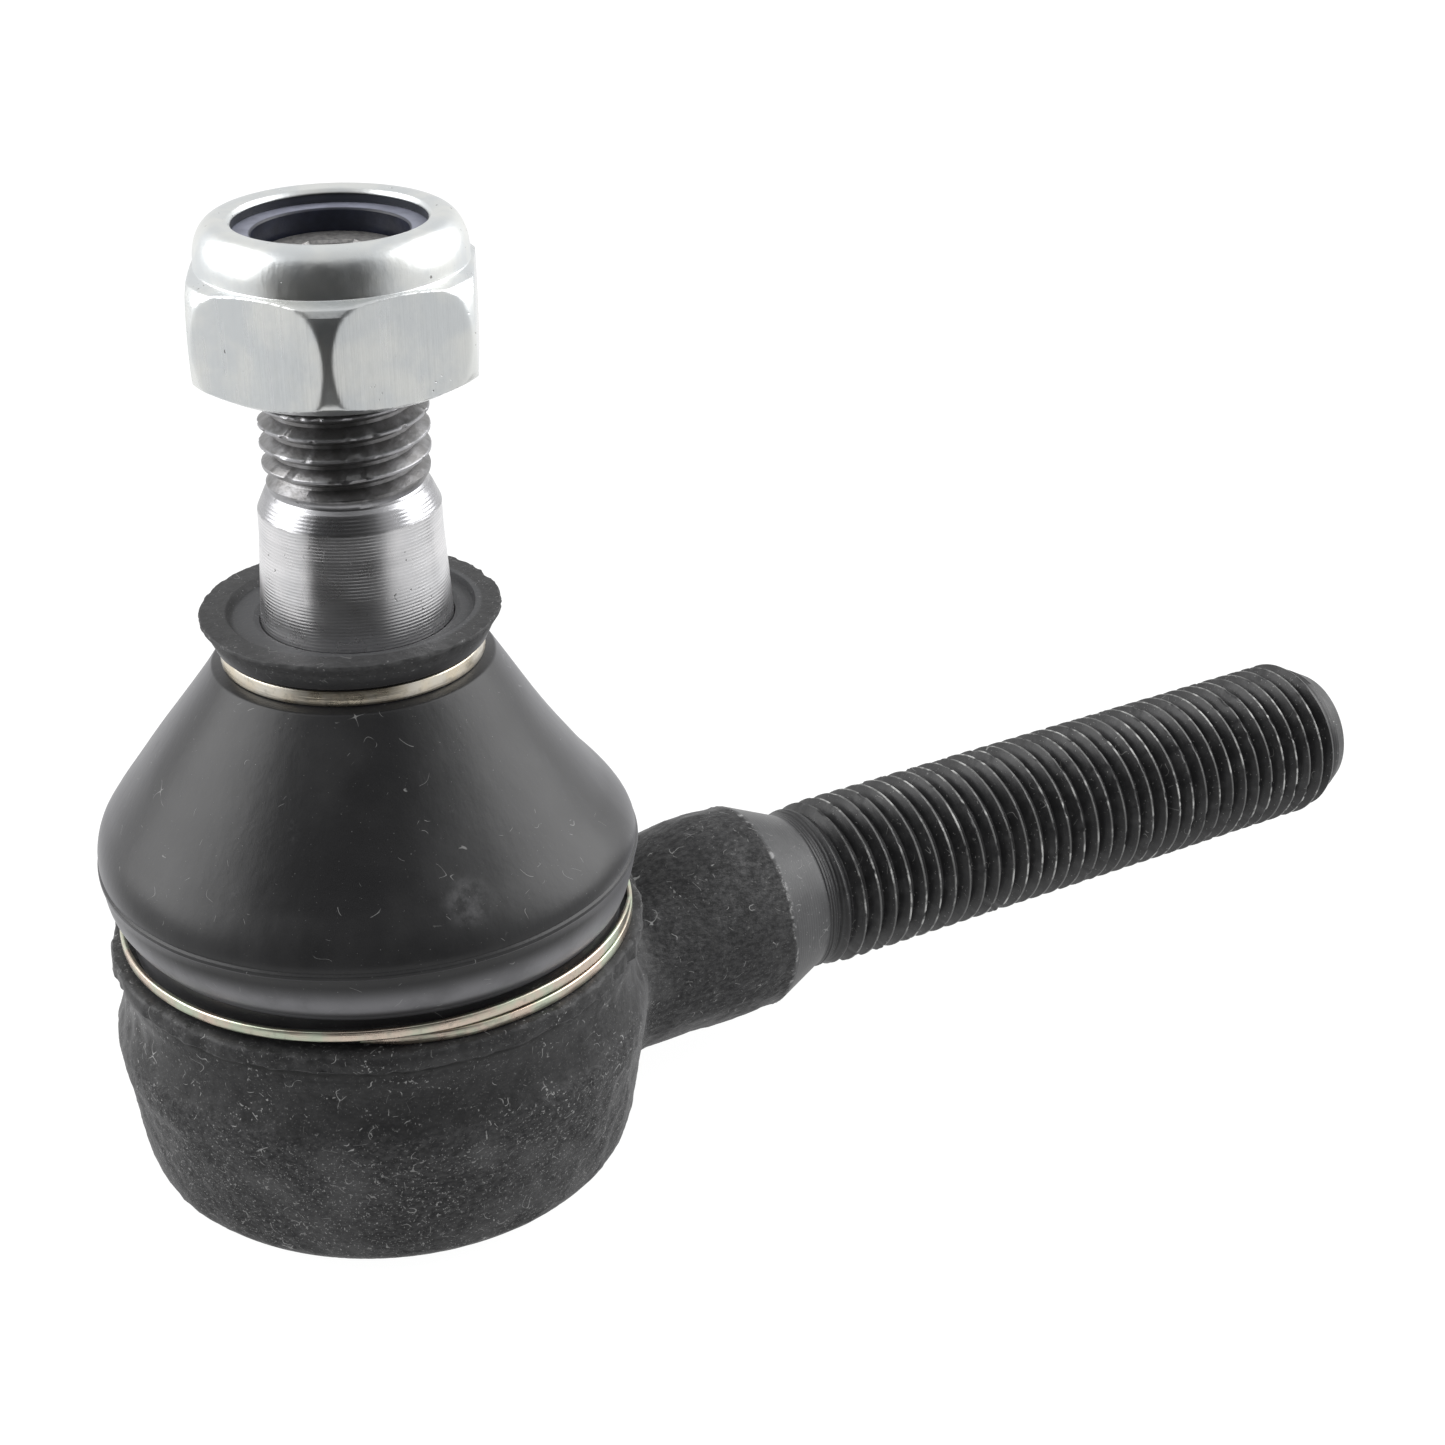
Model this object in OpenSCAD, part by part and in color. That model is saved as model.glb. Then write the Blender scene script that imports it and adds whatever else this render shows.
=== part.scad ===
// Outer tie rod end: a forged housing with a threaded shank, holding a spring-loaded
// ball stud in two plastic seats, sealed by a clamped rubber boot, with a lock nut.
// Millimetres. The stud stands along +Z, the shank lies along +X, and the origin is
// on the stud's axis at the face of the end cap that the part stands on.

/* [Forged head] */
// Greatest radius of the head, at the forging's parting line
head_r = 20.15; // [19.5:0.05:21]
// Radius of the rolled lip's outer edge at the bottom
lip_r = 17.25; // [17.1:0.05:17.6]
// Height of the rolled lip's edge above the end cap's face
lip_z = 1.1; // [0.9:0.05:1.4]
// Radius of the turned waist below the shoulder
waist_r = 19.35; // [19:0.05:19.4]
// Height of the shoulder that the boot's hem sits on
shoulder_z = 20.2; // [19.8:0.1:20.4]
// Height of the head's mouth, inside the boot
mouth_z = 23.4; // [23.2:0.1:24]

/* [Shank] */
// Height of the shank's axis
shank_z = 10.9; // [10.5:0.1:11.5]
// Radius of the round neck between the head and the thread
neck_r = 8.6; // [8:0.1:9]
// Distance from the stud's axis to the end of the neck
neck_end = 32; // [28:0.5:33]
// Distance from the stud's axis to the end of the shank
shank_end = 93.3; // [80:0.1:100]
// Major radius of the shank's thread
shank_thread_r = 6.94; // [6.94:0.01:7]

/* [Threads] */
// Pitch of both threads
pitch = 1.5; // [1.5:0.25:1.5]
// Major radius of the stud's thread
stud_thread_r = 5.93; // [5.9:0.01:6]

/* [Ball stud] */
// Radius of the ball
ball_r = 10; // [9.5:0.1:10]
// Height of the ball's centre
ball_z = 13.5; // [13.5:0.1:13.8]
// Radius of the stud's neck above the ball
stud_neck_r = 5.5; // [5:0.1:5.5]
// Radius of the round seat that the boot's collar grips
collar_seat_r = 7.1; // [6.9:0.05:7.1]
// Radius of the taper at its small end; it widens by 1 in 8 on diameter
taper_r = 6.32; // [6.1:0.01:6.4]
// Height of the taper's small end
taper_end_z = 53.4; // [50:0.1:53.6]
// Height of the stud's threaded end
stud_end_z = 71.4; // [69:0.1:73]
// Width across flats of the hexagon socket in the stud's end
socket_af = 5; // [4:0.5:6]

/* [Boot] */
// Greatest radius of the boot's bulge
bulge_r = 19.9; // [19.5:0.1:20.1]
// Height of the bulge's greatest radius
bulge_z = 26.9; // [26:0.1:27.5]
// Radius of the boot's top lip
boot_lip_r = 10.8; // [10.2:0.05:11]
// Height of the boot's top lip
boot_top_z = 45.7; // [45.5:0.1:46]

/* [Lock nut] */
// Width across flats of the nut
nut_af = 19; // [18:0.5:19]
// Height of the nut's bearing face as it sits on the stud
nut_z = 62.9; // [60:0.1:64]
// Height of the nut, with its crimped collar
nut_h = 11.1; // [11:0.1:12]
// Angle of one of the nut's corners from the shank
nut_angle = 3; // [0:1:59]

/* [Hidden] */
$fn = 96;

// Play between parts that turn in each other, and between parts that only meet
play = 0.05;

// 60 degree thread: flat crest an eighth of the pitch, depth 0.6134 of the pitch
crest_w = pitch / 8;
thread_depth = 0.6134 * pitch;
flank_w = thread_depth * tan(30);

// Bottom closure: the lip rolls in under the cap's flange
flange_z = 2.2;
flange_top_z = 3.6;
flange_r = 16.7;
cap_face_r = 15.7;
lip_bore_r = 15.9;
cap_t = 1.4;
cap_edge = 0.4;
seal_r = 0.59;
seal_ring_r = 15.4;
seal_groove_w = 1.2;

// Coned disc spring: its edges' radii, its thickness and the height of its cone
spring_inner_r = 5;
spring_outer_r = 11.3;
spring_t = 0.6;
spring_cone_h = 0.55;

// Bore for the seats, and the mouth that the stud swings in
bore_r = 12.6;
bore_cone_z = 16.6;
throat_r = 9.3;
throat_z = 20.6;
mouth_r = 10.4;

// Seats: their gap at the ball's widest, the neck's opening, and the grease hole below
lower_seat_z = cap_t + 1.2;
lower_seat_top = 0.4;
upper_seat_bottom = 0.2;
upper_seat_r = 10.2;
upper_seat_top_z = 19.4;
neck_opening_r = 8.2;
grease_hole_r = 3;

// Groove round the head's top that holds the boot's hem
hem_groove_r = 17;
hem_groove_top_z = 22.35;
head_top_r = 17.8;
head_top_edge = 0.4;

// Shank: cone from the neck down to the thread's blank
blank_r = shank_thread_r - 0.36;
cone_end = 36.3;
first_crest = 38.1;
shank_chamfer = 3.4;
shank_end_r = 5.3;
shank_crests = floor((shank_end - shank_chamfer - first_crest) / pitch) + 1;

// Stud: it widens from its neck to the collar's seat, and the thread starts above a relief
stud_neck_top_z = 27;
collar_seat_z = 34;
collar_seat_end_z = 44.6;
stud_first_crest = 55.6;
relief_r = 5.35;
relief_z = 54.65;
stud_chamfer = 1.2;
socket_depth = 5;
socket_angle = 7;
stud_crests = floor((stud_end_z - stud_chamfer - stud_first_crest) / pitch) + 1;
ball_flat_z = ball_z - 8.9;

// Clamp rings
ring_t = 0.9;
lower_ring_r = 19.1;
lower_ring_z = 20.25;
lower_ring_h = 1.85;
upper_ring_r = 9.85;
upper_ring_t = 0.55;
upper_ring_z = 42.1;
upper_ring_h = 1.2;

// Lock nut: bearing face, the height at which its corners are turned down to the collar,
// the collar's radius, and the rim that is crimped in over the nylon ring
nut_face_r = 8.8;
nut_corner_z = 7.1;
nut_hex_z = 8;
nut_collar_r = 9.2;
nut_rim_r = 7.5;
nut_rim_bore_r = 6.55;
nut_sink_r = 6.7;

// Place of the nylon ring above the nut's bearing face
insert_low = 7.8;
insert_h = 2.2;
insert_r = 7.6;
insert_bore_r = 5.3;

// Points along a ring-grooved thread from its first crest to its last, as [radius, height]
function crest(r, z) = [
    [r - thread_depth, z - crest_w / 2 - flank_w],
    [r, z - crest_w / 2],
    [r, z + crest_w / 2],
    [r - thread_depth, z + crest_w / 2 + flank_w]
];
function thread(r, first, count) = [
    for (i = [0 : count - 1]) each crest(r, first + i * pitch)
];

// Points on a cubic curve with end points a and d and handles b and c
function curve(a, b, c, d, steps) = [
    for (i = [0 : steps])
        let (t = i / steps, u = 1 - t)
            a * u * u * u + b * 3 * u * u * t + c * 3 * u * t * t + d * t * t * t
];

module revolve(points) {
    rotate_extrude()
        polygon(points);
}

module ring(outer_r, wall, z, height) {
    translate([0, 0, z])
        difference() {
            cylinder(r = outer_r, h = height);
            translate([0, 0, -1])
                cylinder(r = outer_r - wall, h = height + 2);
        }
}

// The head before it is bored
module head_blank() {
    revolve(concat(
        [[0, lip_z], [lip_r, lip_z]],
        curve([lip_r + 0.15, lip_z + 0.1], [18.9, 2.6], [19.25, 5.2], [19.85, 10], 8),
        [[head_r, 11.2], [head_r, 13]],
        curve([19.9, 13.7], [19.4, 15], [waist_r - 0.15, 17.2], [19.7, shoulder_z - 0.5], 6),
        [
            [19.6, shoulder_z], [hem_groove_r, shoulder_z],
            [hem_groove_r, hem_groove_top_z], [head_top_r, hem_groove_top_z],
            [head_top_r, mouth_z - head_top_edge], [head_top_r - head_top_edge, mouth_z], [0, mouth_z]
        ]
    ));
}

// Everything that the head is hollowed by: lip, flange seat, seal groove, bore and mouth
module head_bore() {
    translate([0, 0, lip_z - 1])
        cylinder(r = lip_bore_r, h = flange_z - lip_z + 1);
    translate([0, 0, flange_z])
        cylinder(r = flange_r + play, h = flange_top_z - flange_z);
    ring(seal_ring_r + seal_groove_w / 2, seal_groove_w, flange_top_z, seal_groove_w);
    revolve([
        [0, flange_z - 0.5], [bore_r, flange_z - 0.5], [bore_r, bore_cone_z],
        [throat_r, throat_z], [mouth_r, mouth_z + 0.01], [0, mouth_z + 0.01]
    ]);
}

// Neck, cone and thread, with a ring groove for each turn of the thread
module shank() {
    translate([0, 0, shank_z])
        rotate([0, 90, 0])
            revolve(concat(
                [[0, 0], [neck_r, 0], [neck_r, neck_end], [blank_r, cone_end]],
                [[blank_r, first_crest - pitch / 2]],
                thread(shank_thread_r, first_crest, shank_crests),
                [
                    [shank_thread_r - 0.44, shank_end - 2.3],
                    [shank_end_r, shank_end], [0, shank_end]
                ]
            ));
}

module housing() {
    color([0.13, 0.13, 0.14])
        difference() {
            union() {
                head_blank();
                shank();
            }
            head_bore();
        }
}

module end_cap() {
    color([0.72, 0.73, 0.75])
        revolve([
            [0, 0], [cap_face_r - cap_edge, 0], [cap_face_r, cap_edge], [cap_face_r, flange_z],
            [flange_r, flange_z], [flange_r, flange_top_z], [cap_face_r - cap_t, flange_top_z],
            [cap_face_r - cap_t, cap_t + 0.5], [cap_face_r - cap_t - 0.5, cap_t], [0, cap_t]
        ]);
}

module cap_seal() {
    color([0.08, 0.08, 0.08])
        translate([0, 0, flange_top_z + seal_groove_w / 2])
            rotate_extrude()
                translate([seal_ring_r, 0])
                    circle(r = seal_r);
}

// Coned disc spring between the cap and the lower seat
module preload_spring() {
    color([0.35, 0.36, 0.38])
        revolve([
            [spring_inner_r, cap_t + spring_cone_h], [spring_outer_r - 0.3, cap_t],
            [spring_outer_r, cap_t], [spring_outer_r, cap_t + spring_t],
            [spring_inner_r + 0.3, cap_t + spring_cone_h + spring_t],
            [spring_inner_r, cap_t + spring_cone_h + spring_t]
        ]);
}

module lower_seat() {
    color([0.86, 0.85, 0.8])
        difference() {
            translate([0, 0, lower_seat_z])
                cylinder(r = bore_r - play, h = ball_z - lower_seat_top - lower_seat_z);
            translate([0, 0, ball_z])
                sphere(r = ball_r + play);
            translate([0, 0, lower_seat_z - 1])
                cylinder(r = grease_hole_r, h = ball_z - lower_seat_z);
        }
}

module upper_seat() {
    color([0.86, 0.85, 0.8])
        difference() {
            revolve([
                [0, ball_z - upper_seat_bottom], [bore_r - play, ball_z - upper_seat_bottom],
                [bore_r - play, bore_cone_z], [upper_seat_r, upper_seat_top_z], [0, upper_seat_top_z]
            ]);
            translate([0, 0, ball_z])
                sphere(r = ball_r + play);
            translate([0, 0, ball_z])
                cylinder(r = neck_opening_r, h = ball_r);
        }
}

module ball_stud() {
    taper_start_z = collar_seat_end_z + 0.15;
    color([0.62, 0.63, 0.65])
        difference() {
            union() {
                difference() {
                    translate([0, 0, ball_z])
                        sphere(r = ball_r);
                    translate([-ball_r, -ball_r, ball_flat_z - 2 * ball_r])
                        cube(2 * ball_r);
                }
                revolve(concat(
                    [[0, ball_z], [stud_neck_r, ball_z], [stud_neck_r, stud_neck_top_z]],
                    [[collar_seat_r, collar_seat_z], [collar_seat_r, collar_seat_end_z]],
                    [[taper_r + (taper_end_z - taper_start_z) / 16, taper_start_z]],
                    [[taper_r, taper_end_z], [5.8, 54.4], [relief_r, relief_z]],
                    thread(stud_thread_r, stud_first_crest, stud_crests),
                    [[stud_thread_r - 1.2, stud_end_z], [0, stud_end_z]]
                ));
            }
            translate([0, 0, stud_end_z - socket_depth])
                rotate(socket_angle)
                    cylinder(r = socket_af / 2 / cos(30), h = socket_depth + 1, $fn = 6);
        }
}

module dust_boot() {
    hem_r = lower_ring_r - ring_t - play;
    collar_bore_r = collar_seat_r + play;
    outside = concat(
        [[hem_groove_r + play, shoulder_z + play], [hem_r, shoulder_z + play], [hem_r, 22.15]],
        curve([18.5, 22.4], [19.7, 23.6], [bulge_r, 25.2], [bulge_r, bulge_z], 6),
        curve([bulge_r, bulge_z + 0.3], [bulge_r, 28.9], [18.5, 29.4], [17.3, 30.7], 6),
        [[16.6, 31.7], [13.95, 35.7], [10.83, 40.7], [10.2, 41.6]],
        [[upper_ring_r - upper_ring_t - play, 41.95], [upper_ring_r - upper_ring_t - play, 43.45]],
        [[9.85, 43.6], [boot_lip_r, boot_top_z - 0.2], [boot_lip_r - 0.1, boot_top_z]]
    );
    inside = concat(
        [[8.7, boot_top_z], [8.6, boot_top_z - 0.5], [collar_bore_r, boot_top_z - 0.5]],
        [[collar_bore_r, 38.6], [10.1, 38.6], [14.7, 31.5]],
        curve([15.6, 30.1], [17.2, 28.6], [18.4, 28], [18.4, 26.9], 5),
        [[18.4, 26], [head_top_r + play, mouth_z + 0.3], [head_top_r + play, hem_groove_top_z - play]],
        [[hem_groove_r + play, hem_groove_top_z - play]]
    );
    color([0.16, 0.16, 0.17])
        revolve(concat(outside, inside));
}

module lower_clamp_ring() {
    color([0.78, 0.74, 0.62])
        ring(lower_ring_r, ring_t, lower_ring_z, lower_ring_h);
}

module upper_clamp_ring() {
    color([0.78, 0.74, 0.66])
        ring(upper_ring_r, upper_ring_t, upper_ring_z, upper_ring_h);
}

// Hexagon with 30 degree chamfers and a domed collar crimped in over the nylon ring
module lock_nut() {
    turned_r = nut_af / 2 / cos(30) + 0.2;
    color([0.8, 0.82, 0.82])
        translate([0, 0, nut_z])
            difference() {
                union() {
                    intersection() {
                        rotate(nut_angle)
                            cylinder(r = nut_af / 2 / cos(30), h = nut_hex_z, $fn = 6);
                        revolve([
                            [0, 0], [nut_face_r, 0], [turned_r, (turned_r - nut_face_r) * tan(30)],
                            [turned_r, nut_corner_z], [nut_collar_r, nut_hex_z], [0, nut_hex_z]
                        ]);
                    }
                    revolve(concat(
                        [[0, nut_corner_z - 1], [nut_collar_r - 0.3, nut_corner_z - 1]],
                        [[nut_collar_r, nut_hex_z]],
                        curve([nut_collar_r, nut_hex_z + 0.6], [nut_collar_r, nut_h - 1.1],
                              [8.6, nut_h], [nut_rim_r, nut_h], 7),
                        [[6.9, nut_h - 0.15], [nut_rim_bore_r, nut_h - 0.6]],
                        [[nut_rim_bore_r, insert_low + insert_h], [0, insert_low + insert_h]]
                    ));
                }
                translate([0, 0, -1])
                    cylinder(r = stud_thread_r + play, h = nut_h);
                translate([0, 0, -0.01])
                    cylinder(r1 = nut_sink_r, r2 = stud_thread_r, h = 0.8);
                translate([0, 0, insert_low])
                    cylinder(r = insert_r + play, h = insert_h + play);
                translate([0, 0, insert_low])
                    cylinder(r = nut_rim_bore_r, h = nut_h);
            }
}

module nylon_insert() {
    color([0.1, 0.13, 0.22])
        ring(insert_r, insert_r - insert_bore_r, nut_z + insert_low + play, insert_h - play);
}

housing();
end_cap();
cap_seal();
preload_spring();
lower_seat();
upper_seat();
ball_stud();
dust_boot();
lower_clamp_ring();
upper_clamp_ring();
lock_nut();
nylon_insert();
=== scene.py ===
"""An outer tie rod end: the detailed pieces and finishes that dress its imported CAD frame.

Shapes are worked out in millimetres and turned into metres when their mesh is made.
The stud stands along +Z, the shank lies along +X, and the end cap's face is at height 0.
"""

from math import acos, atan2, ceil, cos, floor, pi, radians, sin, sqrt, tan

import bmesh
import bpy
import numpy as np
from mathutils import Matrix, Vector, noise


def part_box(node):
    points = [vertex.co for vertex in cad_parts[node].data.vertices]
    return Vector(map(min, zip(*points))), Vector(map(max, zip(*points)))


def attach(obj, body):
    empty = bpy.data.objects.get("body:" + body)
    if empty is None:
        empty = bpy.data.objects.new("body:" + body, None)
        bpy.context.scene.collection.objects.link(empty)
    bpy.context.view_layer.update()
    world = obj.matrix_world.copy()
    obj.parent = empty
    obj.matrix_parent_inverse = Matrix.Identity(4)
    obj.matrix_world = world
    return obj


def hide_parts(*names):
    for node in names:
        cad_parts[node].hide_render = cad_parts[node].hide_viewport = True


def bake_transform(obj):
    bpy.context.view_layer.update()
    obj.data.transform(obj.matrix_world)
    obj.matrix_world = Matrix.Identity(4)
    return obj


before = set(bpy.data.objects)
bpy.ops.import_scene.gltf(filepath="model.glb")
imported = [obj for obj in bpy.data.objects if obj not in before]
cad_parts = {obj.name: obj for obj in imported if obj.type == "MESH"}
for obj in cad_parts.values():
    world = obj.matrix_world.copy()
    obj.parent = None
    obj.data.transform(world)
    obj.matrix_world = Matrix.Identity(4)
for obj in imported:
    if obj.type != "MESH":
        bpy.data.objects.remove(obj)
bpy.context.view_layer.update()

MM = 0.001


def extent(node):
    """Lowest and highest corner of a CAD node at rest, in millimetres."""
    low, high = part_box(node)
    return np.array(low) / MM, np.array(high) / MM


def round_size(node):
    """Radius, lowest height and highest height of a round CAD node."""
    low, high = extent(node)
    return high[0], low[2], high[2]


# Driving dimensions: outer sizes come from the frame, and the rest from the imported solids' shape
head_low, head_high = extent("housing")
HEAD_R = -head_low[0]
LIP_Z = head_low[2]
HEAD_TOP = head_high[2]
SHANK_END = head_high[0]
SHANK_Z = 10.9
NECK_R = 8.6
NECK_END = 32.0
SHANK_THREAD_R = 6.94
BLANK_R = 6.58
BORE_R = 12.6
CAP_R, _, CAP_TOP = round_size("end_cap")
CAP_FACE_R = 15.7
CAP_FLANGE_Z = 2.2
BALL_R, BALL_LOW, STUD_TOP = round_size("ball_stud")
BALL_Z = 13.5
STUD_THREAD_R = 5.93
STUD_RELIEF_R = 5.58
STUD_THREAD_LOW = 55.0
STUD_CREST = 55.6
SHOULDER_Z = 53.4
SOCKET_R = 2.5
COLLAR_SEAT_R = 7.1
COLLAR_LOW = 38.6
BULGE_R, BOOT_LOW, BOOT_TOP = round_size("dust_boot")
LIP_R = 10.8
LOWER_RING_R, LOWER_RING_Z, _ = round_size("lower_clamp_ring")
UPPER_RING_R, UPPER_RING_LOW, UPPER_RING_TOP = round_size("upper_clamp_ring")
_, NUT_LOW, NUT_TOP = round_size("lock_nut")
NUT_AF = 19.0
NUT_ANGLE = radians(3)
NUT_RIM_R = 6.62
NUT_SINK_R = 6.7
NUT_BORE_R = 6.05
NUT_FACE_R = 8.7
NYLON_R, NYLON_LOW, NYLON_TOP = round_size("nylon_insert")

# Threads: 60 degree flanks, and the angle at which a crest passes its nominal height
PITCH = 1.5
THREAD_DEPTH = 0.6134 * PITCH
CREST_HALF = PITCH / 16
FLANK = THREAD_DEPTH * tan(radians(30))
THREAD_ROWS = (-0.42, -0.1, -0.045, 0.045, 0.1, 0.42, 0.5)

# The camera: where it stands, where it looks, and its lens
CAMERA_AT = Vector((-69.15, -165.0, 124.04))
CAMERA_HEADING = radians(58.917)
CAMERA_DOWN = radians(26.453)
CAMERA_ROLL = radians(-0.361)
CAMERA_LENS = 67.68
FRONT = atan2(CAMERA_AT.y, CAMERA_AT.x)
SHANK_FRONT = atan2(CAMERA_AT.z - SHANK_Z, CAMERA_AT.y)


# ---- outlines

def rounded(points, steps=5):
    """A closed or open outline of (r, z) points, where a third number rounds the corner by that radius."""
    result = []
    for index, point in enumerate(points):
        corner = np.array(point[:2], float)
        if len(point) == 2:
            result.append(corner)
            continue
        back = np.array(points[index - 1][:2], float) - corner
        ahead = np.array(points[(index + 1) % len(points)][:2], float) - corner
        back_length, ahead_length = np.linalg.norm(back), np.linalg.norm(ahead)
        back, ahead = back / back_length, ahead / ahead_length
        half = acos(float(np.clip(back @ ahead, -1, 1))) / 2
        if half > radians(89):
            result.append(corner)
            continue
        reach = min(point[2] / tan(half), 0.48 * back_length, 0.48 * ahead_length)
        radius = reach * tan(half)
        middle = (back + ahead) / np.linalg.norm(back + ahead)
        centre = corner + middle * radius / sin(half)
        first, last = corner + back * reach - centre, corner + ahead * reach - centre
        sweep = pi - 2 * half
        for step in range(steps + 1):
            share = step / steps
            weight_a = sin((1 - share) * sweep) / sin(sweep)
            weight_b = sin(share * sweep) / sin(sweep)
            result.append(centre + first * weight_a + last * weight_b)
    return np.array(result)


def curve(a, b, c, d, steps=8):
    """Points on a cubic curve from a to d with handles b and c."""
    t = np.linspace(0, 1, steps + 1)[:, None]
    a, b, c, d = (np.array(p, float) for p in (a, b, c, d))
    points = a * (1 - t) ** 3 + 3 * b * (1 - t) ** 2 * t + 3 * c * (1 - t) * t**2 + d * t**3
    return [tuple(p) for p in points]


def spaced(points, gap):
    """The outline with points added so that none are further apart than gap."""
    result = [points[0]]
    for a, b in zip(points[:-1], points[1:]):
        pieces = max(1, ceil(np.linalg.norm(b - a) / gap))
        result += [a + (b - a) * (k + 1) / pieces for k in range(pieces)]
    return np.array(result)


def smooth(value, low, high):
    """0 below low, 1 above high, and a smooth step between."""
    t = np.clip((value - low) / (high - low), 0, 1)
    return t * t * (3 - 2 * t)


def rough(points, size, seed, octaves=3):
    """Random bumps about size across, from about -1 to 1, at each of the points."""
    shift = Vector((seed * 17.3, seed * 7.9, seed * 3.1))
    return np.array([noise.fractal(Vector(p) / size + shift, 0.6, 2.0, octaves) for p in points])


# ---- meshes

def grid_faces(rows, columns, shift=0):
    """Quads between the rows of a grid that closes on itself, shift rows further on at its seam."""
    row, column = np.meshgrid(np.arange(rows - 1), np.arange(columns), indexing="ij")
    next_column = (column + 1) % columns
    next_row = row + np.where(next_column == 0, shift, 0)
    corners = (row, column), (next_row, next_column), (next_row + 1, next_column), (row + 1, column)
    faces = np.stack([r * columns + c for r, c in corners], -1)
    return faces[next_row < rows - 1]


def thread_radius(phase, crest_r):
    """Radius of a thread, phase in millimetres from the middle of its crest."""
    return crest_r - THREAD_DEPTH * np.clip((np.abs(phase) - CREST_HALF) / FLANK, 0, 1)


class Shell:
    """One solid's walls, as grids of points round an axis, that are welded into a closed mesh."""

    def __init__(self, angles):
        self.angles = np.array(angles)
        self.points = []
        self.faces = []
        self.count = 0

    def grid(self, radius, height, shift=0):
        """A wall from arrays of rows by columns."""
        columns = len(self.angles)
        points = np.stack([radius * np.cos(self.angles), radius * np.sin(self.angles), height], -1)
        self.points.append(points.reshape(-1, 3))
        self.faces.append(grid_faces(len(points), columns, shift) + self.count)
        self.count += len(points) * columns

    def wall(self, rows):
        """A wall through rows of (radius, height), where either may vary with the angle."""
        blank = np.zeros(len(self.angles))
        self.grid(np.array([r + blank for r, _ in rows]), np.array([z + blank for _, z in rows]))

    def thread(self, start, end, crest_at, turned, radius):
        """A helical wall shaped by radius(phase, height). A crest passes crest_at at angle turned."""
        per_turn = len(THREAD_ROWS)
        first = floor((start - crest_at) / PITCH) - 3
        last = ceil((end - crest_at) / PITCH) + 3
        along = np.array([k + row for k in range(first, last) for row in THREAD_ROWS])
        climb = (self.angles - turned) / (2 * pi)
        height = np.clip(crest_at + PITCH * (along[:, None] + climb), start, end)
        turns = (height - crest_at) / PITCH - climb
        phase = (turns - np.round(turns)) * PITCH
        self.grid(radius(phase, height), height, per_turn)


def placed(name, data):
    """A new object in the scene."""
    made = bpy.data.objects.new(name, data)
    bpy.context.scene.collection.objects.link(made)
    return made


def solid(name, points, faces, sharp_deg=35, weld=True):
    """An object from points in millimetres, its normals outward and its shading smooth."""
    mesh = bpy.data.meshes.new(name)
    mesh.from_pydata((np.asarray(points) * MM).tolist(), [], faces)
    work = bmesh.new()
    work.from_mesh(mesh)
    if weld:
        bmesh.ops.remove_doubles(work, verts=work.verts, dist=0.002 * MM)
        bmesh.ops.dissolve_degenerate(work, edges=work.edges, dist=0.0005 * MM)
    bmesh.ops.recalc_face_normals(work, faces=work.faces)
    for face in work.faces:
        face.smooth = True
    work.to_mesh(mesh)
    work.free()
    mesh.set_sharp_from_angle(angle=radians(sharp_deg))
    return placed(name, mesh)


def shell_solid(name, shell, sharp_deg=35, reshape=None, turn=None):
    """An object from a shell. reshape moves its points, and turn reorders their axes."""
    points = np.concatenate(shell.points)
    if reshape:
        points = reshape(points)
    if turn:
        points = turn(points)
    return solid(name, points, np.concatenate(shell.faces).tolist(), sharp_deg)


def even_angles(count, start=0.0):
    return start + np.arange(count) * 2 * pi / count


def united(piece, other):
    """The piece joined with the other into one closed mesh; the other is removed."""
    modifier = piece.modifiers.new("union", "BOOLEAN")
    modifier.operation = "UNION"
    modifier.solver = "MANIFOLD"
    modifier.object = other
    view = bpy.context.evaluated_depsgraph_get()
    mesh = bpy.data.meshes.new_from_object(piece.evaluated_get(view))
    piece.modifiers.clear()
    piece.data = mesh
    bpy.data.objects.remove(other)
    return piece


# ---- housing

def outline_distance(points, across, along):
    """Signed distance to a closed outline, negative inside."""
    nearest = np.full(across.shape, np.inf)
    inside = np.zeros(across.shape, bool)
    for (ax, ay), (bx, by) in zip(points, np.roll(points, -1, 0)):
        edge_x, edge_y = bx - ax, by - ay
        x, y = across - ax, along - ay
        share = np.clip((x * edge_x + y * edge_y) / (edge_x**2 + edge_y**2), 0, 1)
        nearest = np.minimum(nearest, (x - share * edge_x) ** 2 + (y - share * edge_y) ** 2)
        if edge_y != 0:
            inside ^= ((y >= 0) != (y >= edge_y)) & (x < edge_x * y / edge_y)
    return np.where(inside, -1, 1) * np.sqrt(nearest)


BEYOND = -4.0  # an outline that crosses the axis runs on to here, so that the axis is no edge

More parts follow.
